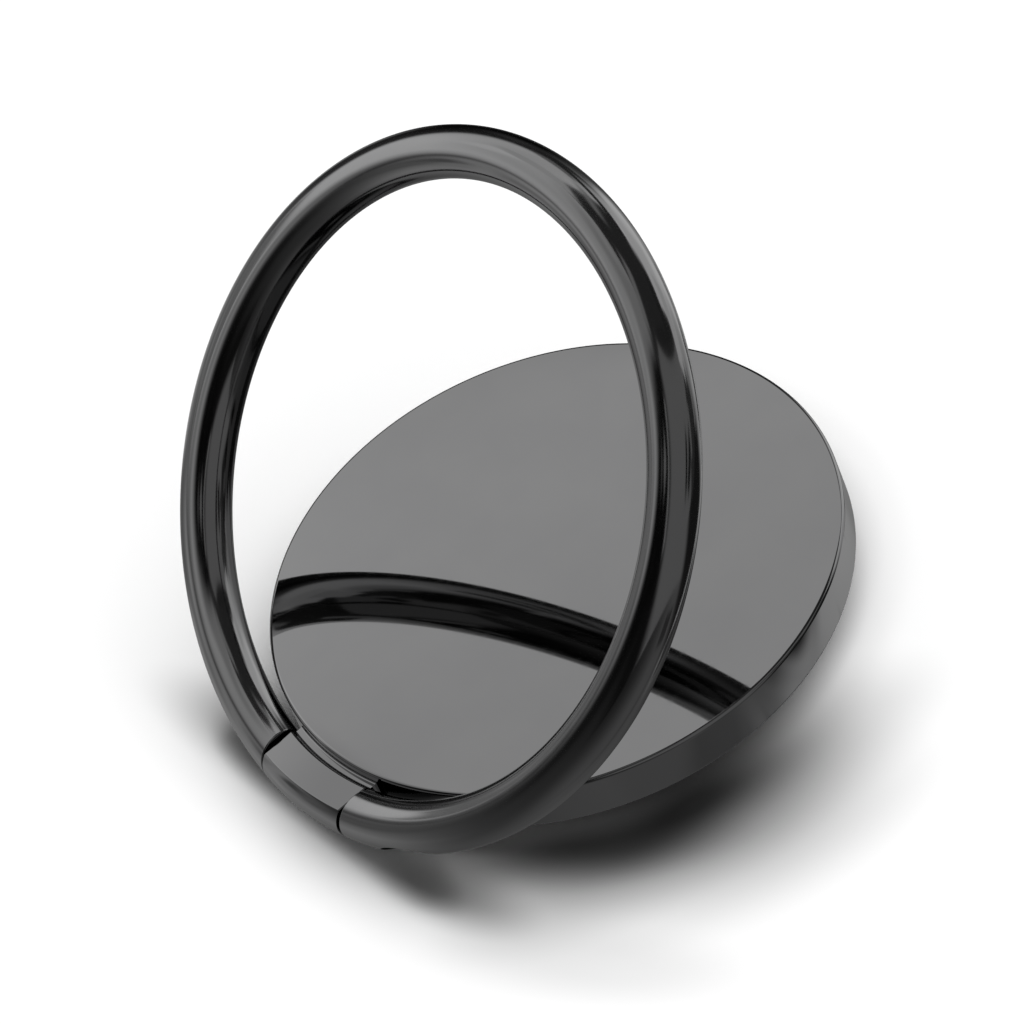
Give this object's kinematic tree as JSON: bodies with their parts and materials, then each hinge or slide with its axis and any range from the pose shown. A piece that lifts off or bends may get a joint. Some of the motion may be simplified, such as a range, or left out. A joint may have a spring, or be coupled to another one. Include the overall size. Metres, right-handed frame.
{
  "type": "phone ring holder",
  "caption": "Round stick-on phone holder: a mirror-polished swivel disc with a hinged round-wire finger ring that folds flat around it.",
  "frame": {"origin": "centre of the adhesive pad's underside, on the swivel axis", "axes": "+Z along the swivel axis out of the mirror face, -Y towards the ring's hinge, +X along the hinge pin"},
  "size_m": [0.036, 0.0331, 0.0274],
  "materials": {
    "dark_mirror_plating": "mirror-polished black nickel plating on cast zinc",
    "steel": "plain turned and stamped steel",
    "low_friction_plastic": "satin, unfilled",
    "adhesive_foam": "matte foam tape"
  },
  "bodies": {
    "base": {"base_plate": "dark_mirror_plating", "adhesive_pad": "adhesive_foam", "glide_washer": "low_friction_plastic"},
    "swivel": {"swivel_disc": "dark_mirror_plating", "pivot_rivet": "steel", "spring_washer": "steel", "flat_washer": "steel"},
    "ring": {"finger_ring": "dark_mirror_plating", "hinge_pin": "steel"}
  },
  "joints": [
    {"name": "swivel_turn", "type": "hinge", "parent": "base", "child": "swivel", "pos_m": [0, 0, 0.00255], "axis": [0, 0, 1], "continuous": true},
    {"name": "ring_fold", "type": "hinge", "parent": "swivel", "child": "ring", "pos_m": [0, -0.0163, 0.00357], "axis": [1, 0, 0], "range_deg": [-43.2, 136.8]}
  ]
}
